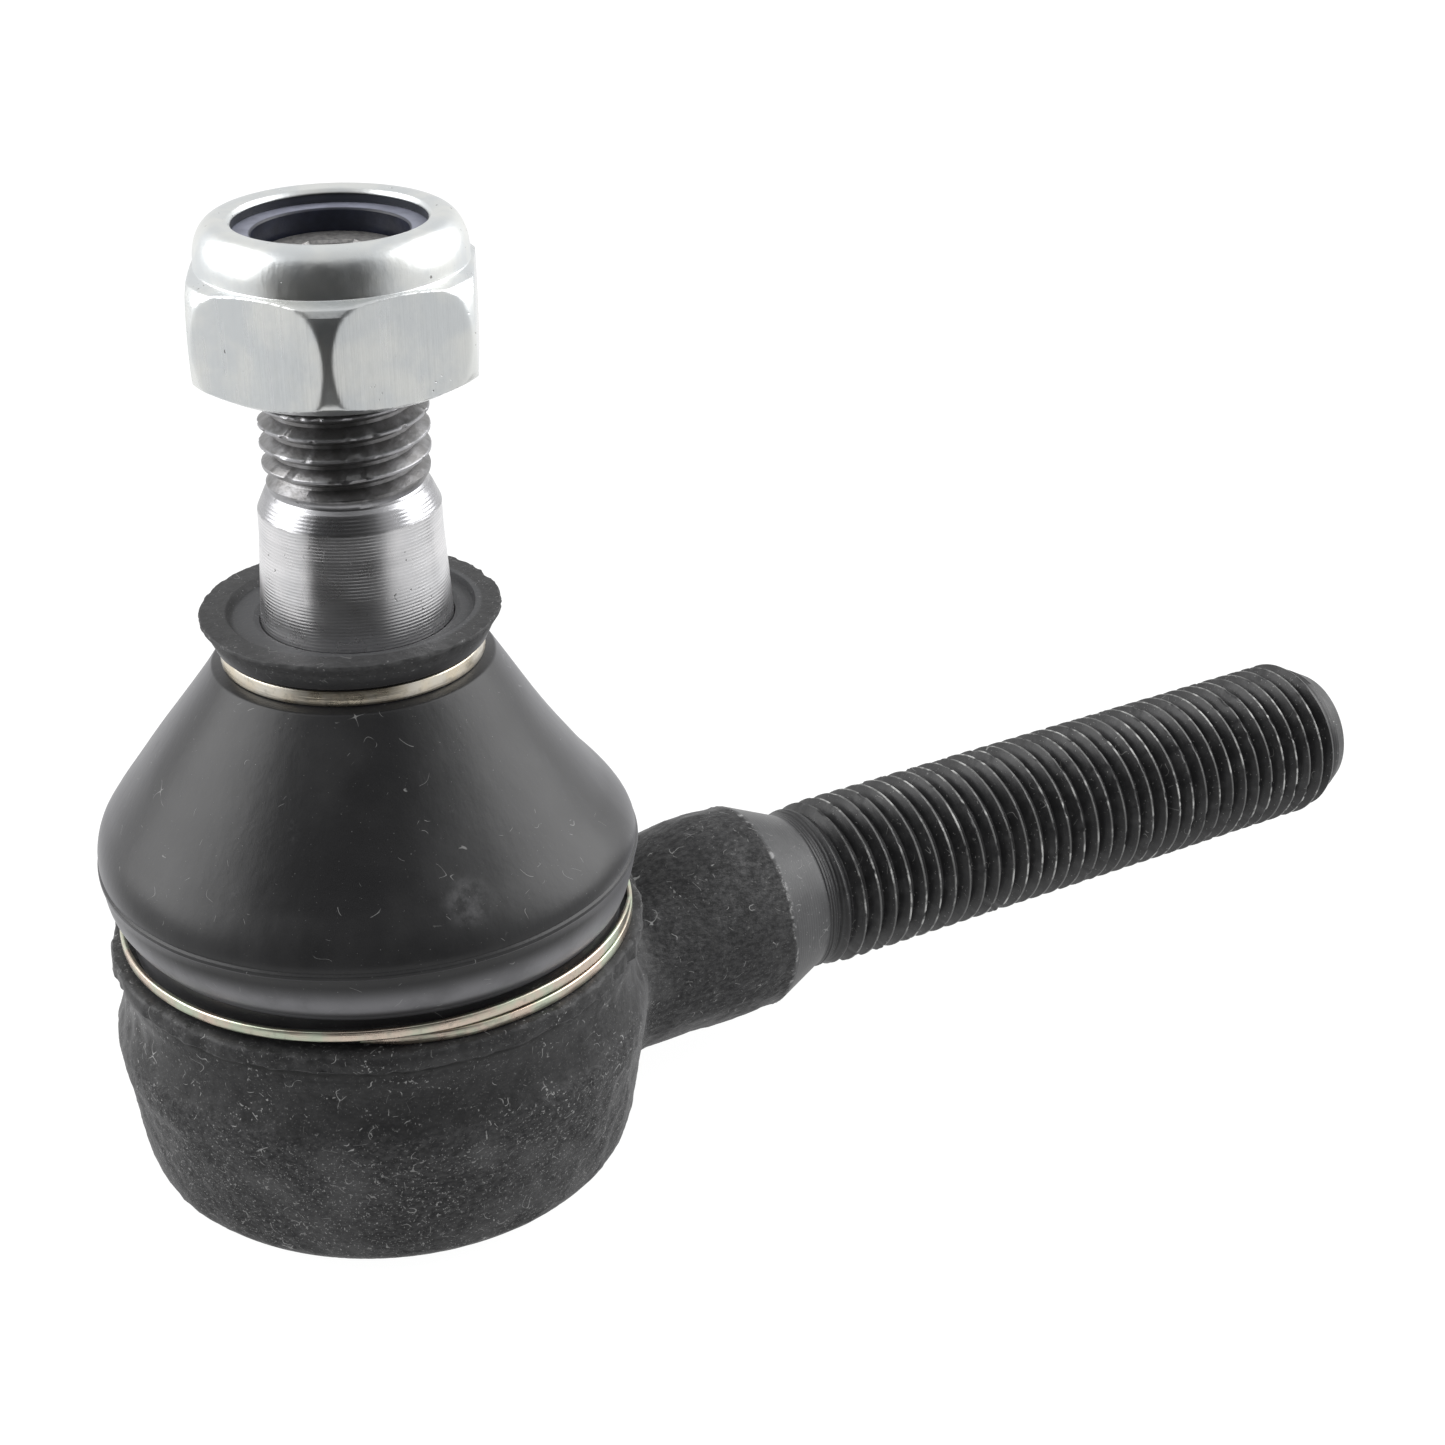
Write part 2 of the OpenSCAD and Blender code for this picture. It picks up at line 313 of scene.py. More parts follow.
HEAD_OUTLINE = rounded(
    [(BEYOND, LIP_Z), (17.25, LIP_Z, 0.45)]
    + curve((18.1, 1.8), (18.9, 2.55), (19.2, 5.1), (19.8, 9.8))
    + [(HEAD_R, 11.3, 0.8), (HEAD_R, 12.9, 0.8)]
    + curve((19.9, 13.8), (19.4, 15), (19.2, 16.0), (19.25, 17.0))
    + [(19.25, 18.25, 0.25), (19.98, 18.85, 0.15), (19.85, 20.2, 0.4), (17, 20.2, 0.2), (17, 22.35, 0.15)]
    + [(17.8, 22.35, 0.15), (17.8, HEAD_TOP, 0.4), (BEYOND, HEAD_TOP)],
    steps=4,
)
BORE_OUTLINE = rounded([
    (BEYOND, -1), (CAP_FACE_R + 0.2, -1), (CAP_FACE_R + 0.2, CAP_FLANGE_Z), (CAP_R + 0.05, CAP_FLANGE_Z),
    (CAP_R + 0.05, CAP_TOP), (BORE_R, CAP_TOP), (BORE_R, 16.6), (9.3, 20.6, 0.5), (10.4, HEAD_TOP + 0.1, 0.2),
    (10.8, 26), (BEYOND, 26),
])
NECK_OUTLINE = rounded([
    (BEYOND, 2), (NECK_R, 2), (NECK_R, NECK_END - 3, 2), (NECK_R - 0.12, NECK_END, 0.15),
    (5.86, 38), (BEYOND, 38),
])
NECK_FILLET = 1.5
NECK_DIP = 2.8
NET_STEP = 0.42


def housing_field(x, y, z):
    """Signed distance to the head and neck, without the thread."""
    out = np.hypot(x, y)
    head = outline_distance(HEAD_OUTLINE, out, z)
    up = z - SHANK_Z
    around = np.hypot(y, up)
    topness = np.clip(up / np.maximum(around, 1), 0, 1) ** 2
    dip = NECK_DIP * smooth(28.5 - x, 0, 11)
    neck = outline_distance(NECK_OUTLINE, around + dip * topness, x)
    nearness = np.clip(0.5 + 0.5 * (head - neck) / NECK_FILLET, 0, 1)
    joined = head + (neck - head) * nearness - NECK_FILLET * nearness * (1 - nearness)
    return np.maximum(joined, -outline_distance(BORE_OUTLINE, out, z))


def net(field, low, high, step):
    """Points and quads on a field's zero surface, one point to each grid cell that it crosses."""
    axes = [np.arange(a, b + step, step) for a, b in zip(low, high)]
    values = field(*np.meshgrid(*axes, indexing="ij"))
    inside = values < 0
    cells = tuple(n - 1 for n in values.shape)
    total, hits = np.zeros(cells + (3,)), np.zeros(cells)
    base = np.stack(np.meshgrid(*[np.arange(n) for n in cells], indexing="ij"), -1)
    corner = [(a, b, c) for a in (0, 1) for b in (0, 1) for c in (0, 1)]

    def at(array, offset):
        return array[tuple(slice(o, o + n) for o, n in zip(offset, cells))]

    for start in corner:
        for axis in range(3):
            if start[axis]:
                continue
            end = tuple(1 if k == axis else start[k] for k in range(3))
            cross = at(inside, start) != at(inside, end)
            a, b = at(values, start)[cross], at(values, end)[cross]
            point = base[cross] + np.array(start, float)
            point[:, axis] += a / (a - b)
            total[cross] += point
            hits[cross] += 1
    used = hits > 0
    index = np.full(cells, -1)
    index[used] = np.arange(used.sum())
    points = total[used] / hits[used][:, None] * step + np.array([a[0] for a in axes])
    faces = []
    for axis in range(3):
        u, v = (axis + 1) % 3, (axis + 2) % 3
        low_side = inside.take(range(inside.shape[axis] - 1), axis)
        high_side = inside.take(range(1, inside.shape[axis]), axis)
        where = np.argwhere(low_side != high_side)
        where = where[(where[:, u] > 0) & (where[:, v] > 0)]
        unit_u, unit_v = np.eye(3, dtype=int)[u], np.eye(3, dtype=int)[v]
        ring = [where, where - unit_u, where - unit_u - unit_v, where - unit_v]
        quad = np.stack([index[tuple(r.T)] for r in ring], -1)
        quad = quad[(quad >= 0).all(1)]
        faces.append(quad)
    return points, np.concatenate(faces)


def slope(field, points, reach=0.05):
    """The field's value and gradient at points."""
    value = field(*points.T)
    gradient = np.empty_like(points)
    for axis in range(3):
        step = np.zeros(3)
        step[axis] = reach
        gradient[:, axis] = field(*(points + step).T) - field(*(points - step).T)
    return value, gradient / (2 * reach)


def head_and_neck():
    """The forging without its thread: rough outside, smooth where it is machined."""
    low, high = (-21, -21, 0.3), (39, 21, 24.5)
    points, faces = net(housing_field, low, high, NET_STEP)
    for _ in range(3):
        value, gradient = slope(housing_field, points)
        size = np.maximum((gradient**2).sum(1), 0.3)
        points -= gradient * (value / size)[:, None]
    outward = gradient / np.maximum(np.linalg.norm(gradient, axis=1), 0.3)[:, None]
    x, y, z = points.T
    out = np.hypot(x, y)
    forged = (1 - smooth(x, NECK_END - 0.5, NECK_END)) * smooth(z, LIP_Z + 0.1, LIP_Z + 1.2)
    forged *= smooth(out, 17.2, 17.9) * (1 - smooth(z, 16.8, 17.4) * (x < 19))
    ragged = smooth(z, 17.5, 19) * (1 - smooth(z, 20.1, 20.3)) * smooth(out, 19, 19.3) * (x < 19)
    relief = 0.10 * rough(points, 3.2, 1) + 0.06 * rough(points, 1.1, 2)
    depth = forged * (0.1 - relief) + ragged * (0.14 - 0.3 * rough(points, 2.4, 3))
    points = points - outward * np.clip(depth, 0, 0.5)[:, None]
    return solid("housing_forging", points, faces.tolist(), 40)


def shank_thread():
    """The blank and its thread, from inside the neck to the end of the shank."""
    start, end = 33.0, SHANK_END
    runout_at, first_crest, full_depth = 36.6, 38.1, 3.2
    chamfer_at, chamfer_r, end_r = SHANK_END - 2.6, 6.7, 5.3

    def radius(phase, height):
        runout = np.clip((height - runout_at) / full_depth, 0, 1)
        cut = BLANK_R + (thread_radius(phase, SHANK_THREAD_R) - BLANK_R) * runout
        chamfer = chamfer_r - (height - chamfer_at) * (chamfer_r - end_r) / (end - chamfer_at)
        return np.minimum(cut, chamfer)

    def worn(points):
        """Crests nicked here and there, and flanks a little uneven."""
        out = np.hypot(points[:, 0], points[:, 1])
        nick = np.clip(rough(points, 1.6, 5) - 0.28, 0, 0.5)
        nick *= smooth(out, SHANK_THREAD_R - 0.25, SHANK_THREAD_R)
        uneven = 0.015 * rough(points, 0.9, 6, 2) * smooth(points[:, 2], 36.8, 38)
        uneven *= 1 - smooth(points[:, 2], end - 1.2, end - 0.8)
        scale = 1 - (0.28 * nick + np.maximum(uneven, 0)) / np.maximum(out, 1)
        return points * np.stack([scale, scale, np.ones_like(scale)], -1)

    shell = Shell(even_angles(200))
    shell.thread(start, end, first_crest, SHANK_FRONT, radius)
    shell.wall([(0, start), (BLANK_R, start)])
    shell.wall([(end_r, end), (5.1, end), (1.6, end), (1.2, end - 0.5), (0, end - 1.1)])

    def along_x(points):
        x, y, z = points.T
        return np.stack([z, x, y + SHANK_Z], -1)

    return shell_solid("housing_thread", shell, 40, worn, along_x)


def make_housing():
    return united(head_and_neck(), shank_thread())


# ---- ball stud

def make_stud():
    """Ball, neck, collar seat, taper, thread and hexagon socket, turned from one bar."""
    angles = even_angles(180, radians(7))
    shell = Shell(angles)
    flat_r = sqrt(BALL_R**2 - (BALL_Z - BALL_LOW) ** 2)
    neck_r = 5.5
    neck_z = BALL_Z + sqrt(BALL_R**2 - neck_r**2)
    low_angle = atan2(BALL_LOW - BALL_Z, flat_r)
    high_angle = atan2(neck_z - BALL_Z, neck_r)
    ball = [
        (BALL_R * cos(a), BALL_Z + BALL_R * sin(a))
        for a in np.linspace(low_angle, high_angle, 48)
    ]
    ball[-1] += (1.2,)
    body = rounded(
        [(0, BALL_LOW), (flat_r - 0.4, BALL_LOW)] + ball
        + [(neck_r, 27, 3), (COLLAR_SEAT_R, 34, 2), (COLLAR_SEAT_R, 44.6, 0.1)]
        + [(6.86, 44.8, 0.1), (6.45, 51.5, 3), (6.42, SHOULDER_Z, 0.3)]
        + [(5.86, 54.65, 0.5), (5.60, 54.9, 0.3), (STUD_RELIEF_R, STUD_THREAD_LOW)]
    )
    shell.wall(spaced(body, 0.8))
    first_r = STUD_RELIEF_R + 0.1
    chamfer_r, chamfer_high, chamfer_slope = STUD_THREAD_R - 0.15, 1.15, 0.75

    def radius(phase, height):
        up = height - STUD_THREAD_LOW
        cut = STUD_RELIEF_R + (thread_radius(phase, STUD_THREAD_R) - STUD_RELIEF_R) * np.clip(up / 1.2, 0, 1)
        rising = first_r + (STUD_THREAD_R - first_r) * np.clip(up / 2.6, 0, 1) ** 0.8
        chamfer = chamfer_r - np.clip(height - STUD_TOP + chamfer_high, -0.4, 2) * chamfer_slope
        return np.minimum(np.minimum(cut, rising), chamfer)

    thread_end = STUD_TOP - 0.1
    shell.thread(STUD_THREAD_LOW, thread_end, STUD_CREST, FRONT, radius)
    end_r = chamfer_r - (chamfer_high - 0.1) * chamfer_slope
    socket = SOCKET_R / np.cos((angles - angles[0] + pi / 6) % (pi / 3) - pi / 6)
    shell.wall([
        (end_r, thread_end), (end_r - 0.12, STUD_TOP), (socket + 0.6, STUD_TOP), (socket + 0.2, STUD_TOP),
        (socket, STUD_TOP - 0.2), (socket, STUD_TOP - 5), (0, STUD_TOP - 5.8),
    ])

    def worn(points):
        """Nicked thread crests."""
        out = np.hypot(points[:, 0], points[:, 1])
        on_thread = smooth(points[:, 2], 55.2, 55.6) * smooth(out, STUD_THREAD_R - 0.2, STUD_THREAD_R)
        nick = np.clip(rough(points, 1.1, 8) - 0.2, 0, 0.5) * on_thread
        scale = 1 - 0.3 * nick / np.maximum(out, 1)
        return points * np.stack([scale, scale, np.ones_like(scale)], -1)

    return shell_solid("stud", shell, 32, worn)


# ---- boot and rings

def boot_lean(z):
    """How far the boot's wall stands to one side at that height, in x and y."""
    lean = 0.26 * smooth(z, 22.3, 24.5) + 0.2 * smooth(z, 26.5, 29.5)
    lean += 0.45 * smooth(z, 27, 31.5) * (1 - smooth(z, 34, 42))
    side = FRONT - radians(96)
    return lean * cos(side), lean * sin(side)


def make_boot():
    """The moulded rubber boot, with its parting bead and its torn upper lip."""
    groove_r = UPPER_RING_R - 0.7
    hem_r = LOWER_RING_R - 0.95
    outside = rounded(
        [(17.05, BOOT_LOW, 0.15), (hem_r, BOOT_LOW, 0.15), (hem_r, 22.2, 0.1)]
        + curve((18.3, 22.4), (18.9, 22.9), (19.6, 24.2), (19.78, 26.3), 10)
        + [(BULGE_R, 26.45, 0.08), (BULGE_R, 26.7, 0.1), (19.74, 26.85)]
        + curve((19.78, 27.1), (19.72, 28.2), (19.05, 29.2), (18.05, 30.45), 10)
        + curve((17.8, 30.8), (15.35, 34.15), (13.1, 37.3), (10.83, 40.7), 12)
        + [(10.15, 41.75, 0.3), (groove_r, 42.0, 0.1), (groove_r, 43.4, 0.1)]
        + [(9.75, 43.5, 0.1), (9.9, 43.85, 0.3), (10.3, 44.7, 0.5), (LIP_R - 0.05, BOOT_TOP - 0.3, 0.15)]
        + [(LIP_R - 0.1, BOOT_TOP - 0.05, 0.1), (8.85, BOOT_TOP - 0.1, 0.12), (8.6, BOOT_TOP - 0.6, 0.15)]
        + [(7.35, BOOT_TOP - 0.62, 0.15), (6.93, BOOT_TOP - 0.8, 0.05), (6.93, BOOT_TOP - 0.86)]
        + [(COLLAR_SEAT_R + 0.05, BOOT_TOP - 0.92)]
    )
    inside = rounded(
        [(COLLAR_SEAT_R + 0.05, COLLAR_LOW, 0.3), (10.1, COLLAR_LOW, 0.8), (14.7, 31.5)]
        + curve((15.6, 30.1), (17.2, 28.6), (18.4, 28), (18.4, 26.9), 6)
        + [(18.4, 26, 0.8), (17.85, 23.7, 0.3), (17.85, 22.32, 0.1), (17.05, 22.32, 0.1)]
    )
    outline = np.concatenate([outside, inside, outside[:1]])
    shell = Shell(even_angles(240))
    shell.wall(spaced(outline, 0.7))

    def torn(points):
        """A lip that was trimmed unevenly, and a wall that isn't perfectly round."""
        x, y, z = points.T
        out = np.hypot(x, y)
        angle = np.arctan2(y, x)
        lip = smooth(z, BOOT_TOP - 1.1, BOOT_TOP - 0.2) * smooth(out, 9.4, 10.3)
        worst = 0.4 + 0.6 * smooth(np.cos(angle - FRONT - radians(75)), 0.2, 0.9)
        trimmed = lip * worst * (0.06 + 0.30 * np.clip(rough(points, 1.0, 11), -0.2, 1))
        wall = smooth(z, 23, 26) * (1 - smooth(z, 39, 41)) * 0.06 * rough(points, 9, 12, 2)
        shrink = 1 - (trimmed + np.abs(wall) * smooth(out, 12, 14)) / out
        side_x, side_y = boot_lean(z) * smooth(out, 7.5, 9)
        fray = lip * 0.1 * np.abs(rough(points, 1.4, 13))
        return np.stack([x * shrink + side_x, y * shrink + side_y, z - fray], -1)

    return shell_solid("boot", shell, 50, torn)


def wire(name, path, half_wide, half_high):
    """A flat wire along (angle, radius, height) stations, with pointed ends and its edges rounded off."""
    sides, taper, squared = 16, 6, 0.45
    around = even_angles(sides)
    edge_r = np.sign(np.cos(around)) * np.abs(np.cos(around)) ** squared * half_wide
    edge_z = np.sign(np.sin(around)) * np.abs(np.sin(around)) ** squared * half_high
    rings = []
    last = len(path) - 1
    for index, (angle, radius, height) in enumerate(path):
        slim = 0.25 + 0.75 * min(1, min(index, last - index) / taper)
        out = radius + edge_r * (0.6 + 0.4 * slim)
        rings.append(np.stack([
            out * cos(angle), out * sin(angle), height + edge_z * slim
        ], -1))
    points = np.concatenate(rings)
    faces = grid_faces(len(rings), sides).tolist()
    caps = [list(range(sides)), [last * sides + k for k in range(sides)]]
    return solid(name, points, faces + caps, 50, weld=False)


def make_lower_ring():
    """Flat wire wound a turn and a quarter: its lower end comes out from under the upper turn."""
    half_wide, half_high = 0.21, 0.41
    outer, inner = LOWER_RING_R - half_wide, LOWER_RING_R - 3.3 * half_wide
    low = LOWER_RING_Z + half_high + 0.01
    touching, apart = 2 * half_high + 0.02, 2 * half_high + 0.2
    start = FRONT - radians(6)
    turns = np.radians(np.arange(0, 446, 1.5))
    radius = inner + (outer - inner) * smooth(turns, radians(2), radians(26))
    settle = smooth(turns, radians(120), radians(250))
    cross = smooth(turns, radians(325), radians(375))
    height = low + 0.45 * settle + (touching - 0.45) * cross
    height += (apart - touching) * smooth(turns, radians(368), radians(405))
    return wire("lower_ring", list(zip(turns + start, radius, height)), half_wide, half_high)


def make_upper_ring():
    """A flat band round the boot's collar, its ends overlapping at the back."""
    half_wide, half_high = 0.15, (UPPER_RING_TOP - UPPER_RING_LOW) / 2 - 0.04
    middle = (UPPER_RING_TOP + UPPER_RING_LOW) / 2 - 0.1
    outer, inner = UPPER_RING_R - 0.1 - half_wide, UPPER_RING_R - 0.1 - 3.1 * half_wide
    start = FRONT + radians(150)
    turns = np.radians(np.arange(0, 401, 2))
    radius = inner + (outer - inner) * smooth(turns, radians(300), radians(355))
    ring = wire("upper_ring", [(start + t, r, middle) for t, r in zip(turns, radius)], half_wide, half_high)
    side_x, side_y = boot_lean(middle)
    ring.data.transform(Matrix.Translation(Vector((side_x, side_y, 0)) * MM))
    return ring


# ---- nut and nylon ring

def nut_angles():
    """Angles round the nut, close together at its six corners."""
    half = radians(30)
    share = np.linspace(-1, 1, 49)[:-1]
    sector = NUT_ANGLE + half + half * np.sign(share) * (1 - (1 - np.abs(share)) ** 1.7)
    return np.concatenate([sector + k * 2 * half for k in range(6)])


def make_nut():
    """A hexagon turned down at its corners, a domed collar, and a helical thread inside."""
    angles = nut_angles()
    shell = Shell(angles)
    flat = NUT_AF / 2 / np.cos((angles - NUT_ANGLE) % (pi / 3) - pi / 6)
    shelf = NYLON_LOW - NUT_LOW - 0.05
    height = NUT_TOP - NUT_LOW
    rim_bore = NYLON_TOP - NUT_LOW + 0.05

    def base(z):
        return NUT_LOW + z

    turned = rounded(
        [(NUT_FACE_R, 0.0), (8.8, 0.02, 0.1), (10.5, 0.95, 0.4)]
        + curve((10.62, 1.35), (10.88, 3.2), (10.95, 5.0), (10.5, 6.8), 10)
        + [(10.36, 7.15, 0.1), (10.05, 7.6, 0.3), (9.25, 7.98, 0.12)]
        + curve((9.25, 8.6), (9.24, height - 1.4), (8.7, height), (7.5, height), 12)
        + [(6.8, height - 0.12, 0.25), (6.55, height - 0.45, 0.2), (NUT_RIM_R, rim_bore)]
    )
    softness = 0.05
    rows = []
    for radius, z in spaced(turned, 0.22):
        gap = flat - radius
        blended = (flat + radius - np.sqrt(gap**2 + softness**2)) / 2
        rows.append((blended if z < 8.3 else radius + 0 * flat, base(z)))
    shell.wall(rows)
    thread_top = base(shelf)
    groove_r = NYLON_R + 0.05
    shell.wall([(NUT_RIM_R, base(rim_bore)), (groove_r, NYLON_TOP + 0.05), (groove_r, thread_top)])
    shell.wall([(groove_r, thread_top), (NUT_BORE_R, thread_top)])

    def radius(phase, z):
        cut = np.maximum(thread_radius(phase, STUD_THREAD_R) + 0.12, 5.25)
        sink = NUT_SINK_R - (z - NUT_LOW) * 1.1
        top = NUT_BORE_R - (thread_top - z) * 2
        return np.maximum(np.maximum(cut, sink), np.minimum(top, NUT_BORE_R))

    shell.thread(NUT_LOW, thread_top, STUD_CREST, FRONT, radius)
    shell.wall([(NUT_SINK_R, NUT_LOW), (NUT_FACE_R, NUT_LOW)])
    return shell_solid("nut", shell, 38)


def make_nylon():
    """The ring that grips the thread, pressed up against the crimped rim."""
    shell = Shell(even_angles(96))
    outline = rounded([
        (5.3, NYLON_LOW, 0.2), (NYLON_R, NYLON_LOW, 0.2), (NYLON_R, NYLON_TOP, 0.25),
        (5.42, NYLON_TOP, 0.1), (5.3, NYLON_TOP - 0.14, 0.08),
    ])
    shell.wall(np.concatenate([outline, outline[:1]]))
    return shell_solid("nylon_ring", shell, 50)


# ---- end cap

def make_cap():
    """The pressed steel cap: a dish whose flange is held under the rolled lip."""
    wall = 1.4
    outline = rounded([
        (0, 0), (CAP_FACE_R, 0, 0.45), (CAP_FACE_R, CAP_FLANGE_Z, 0.1), (CAP_R, CAP_FLANGE_Z, 0.15),
        (CAP_R, CAP_TOP, 0.15), (CAP_FACE_R - wall, CAP_TOP, 0.3), (CAP_FACE_R - wall, wall, 0.5), (0, wall),
    ])
    shell = Shell(even_angles(192))
    shell.wall(spaced(outline, 1.5))
    return shell_solid("cap", shell, 40)


# ---- finishes

class Nodes:
    """A node tree; each method adds a node and gives its output."""

    def __init__(self, tree):
        self.tree = tree

    def node(self, kind, inputs, output=0, **settings):
        made = self.tree.nodes.new("ShaderNode" + kind)
        for key, value in settings.items():
            setattr(made, key, value)
        for key, value in inputs.items():
            self.feed(made.inputs[key], value)
        return made.outputs[output]

    def feed(self, socket, value):
        if isinstance(value, bpy.types.NodeSocket):
            self.tree.links.new(value, socket)
        else:
            socket.default_value = (*value, 1) if socket.type == "RGBA" else value

    def math(self, operation, a, b=0.0):
        return self.node("Math", {0: a, 1: b}, operation=operation)

    def fade(self, value, low, high, first=0.0, last=1.0):
        """first below low, last above high, and a smooth step between."""
        return self.node("MapRange", {
            "Value": value, "From Min": low, "From Max": high, "To Min": first, "To Max": last,
        }, interpolation_type="SMOOTHSTEP")

    def fall(self, value, low, high):
        """1 below low, 0 above high, and a smooth step between."""
        return self.fade(value, low, high, 1.0, 0.0)

    def band(self, value, low, rise_end, fall_start, high):
        """0 outside low and high, and 1 in the middle, with a smooth step on either side."""
        return self.both(self.fade(value, low, rise_end), self.fall(value, fall_start, high))

    def tint(self, factor, a, b):
        return self.node("Mix", {0: factor, 6: a, 7: b}, output=2, data_type="RGBA")

    def level(self, factor, a, b):
        return self.node("Mix", {0: factor, 2: a, 3: b}, data_type="FLOAT")

    def both(self, *factors):
        """The product of the factors."""
        result = factors[0]
        for factor in factors[1:]:
            result = self.math("MULTIPLY", result, factor)
        return result

    def either(self, a, b):
        return self.math("MAXIMUM", a, b)

    def without(self, factor):
        return self.math("SUBTRACT", 1.0, factor)


class Finish(Nodes):
    """A procedural material, with its place on the object in millimetres."""

    def __init__(self, name, metallic=0.0, specular=0.5):
        self.material = bpy.data.materials.new(name)
        self.material.use_nodes = True
        super().__init__(self.material.node_tree)
        self.shader = self.tree.nodes["Principled BSDF"]
        self.shader.inputs["Metallic"].default_value = metallic
        self.shader.inputs["Specular IOR Level"].default_value = specular
        place = self.node("TexCoord", {}, "Object")
        self.place = self.node("VectorMath", {0: place, "Scale": 1 / MM}, operation="SCALE")
        self.x, self.y, self.z = self.node("SeparateXYZ", {0: self.place}).node.outputs

    def noise(self, size, detail=3.0, stretch=(1, 1, 1), seed=0.0, coarse=0.55):
        """Random clouds about size across; a small stretch along an axis draws them out along it."""
        where = self.node(
            "VectorMath", {0: self.place, 1: stretch, 2: (seed, seed * 1.7, seed * 2.3)},
            operation="MULTIPLY_ADD",
        )
        return self.node("TexNoise", {
            "Vector": where, "Scale": 1 / size, "Detail": detail, "Roughness": coarse,
        })

    def across(self, first, second):
        """Distance from an axis, from the two coordinates across it."""
        squares = self.math("ADD", self.math("POWER", first, 2.0), self.math("POWER", second, 2.0))
        return self.math("SQRT", squares)

    def bump(self, height, depth, under=None):
        """A relief of that depth in millimetres, added to the one under it."""
        inputs = {"Height": height, "Distance": depth * MM, "Strength": 1.0}
        if under is not None:
            inputs["Normal"] = under
        return self.node("Bump", inputs)

    def specks(self, size, amount, seed):
        """Small bright grains where a fine noise peaks; amount is from 0 to 1."""
        level = 0.74 - 0.1 * amount
        return self.fade(self.noise(size, 2.0, seed=seed), level, level + 0.05)

    def lint(self, size, width, seed, rarity=0.6, length=None):
        """Thin contour lines of one noise, kept where another peaks: curly fibres, or straighter
        and shorter marks where length is less than size."""
        offset = self.math("ABSOLUTE", self.math("SUBTRACT", self.noise(size, 0.0, seed=seed), 0.5))
        line = self.fade(offset, width * 0.4, width, 1.0, 0.0)
        kept = self.noise(length or size * 1.3, 1.0, seed=seed + 9)
        return self.both(line, self.fade(kept, rarity, rarity + 0.04))

    def edge_on(self, low, high):
        """0 where the surface faces the eye and 1 where it turns away."""
        return self.fade(self.node("LayerWeight", {}, "Facing"), low, high)

    def rings(self, along, pitch, wobble, seed):
        """Fine rings left by turning, a little uneven."""
        drift = self.both(self.noise(2.0, 2.0, seed=seed), wobble)
        turns = self.both(self.math("ADD", along, drift), 2 * pi / pitch)
        return self.both(self.math("ADD", self.math("SINE", turns), 1.0), 0.5)

    def coat(self, mask, colour):
        """Another colour over the shade so far, where the mask is 1."""
        self.shade = self.tint(mask, self.shade, colour)

    def done(self, roughness, normal=None):
        self.feed(self.shader.inputs["Base Color"], self.shade)
        self.feed(self.shader.inputs["Roughness"], roughness)
        if normal is not None:
            self.feed(self.shader.inputs["Normal"], normal)
        return self.material


def grey(shade):
    return shade, shade, shade


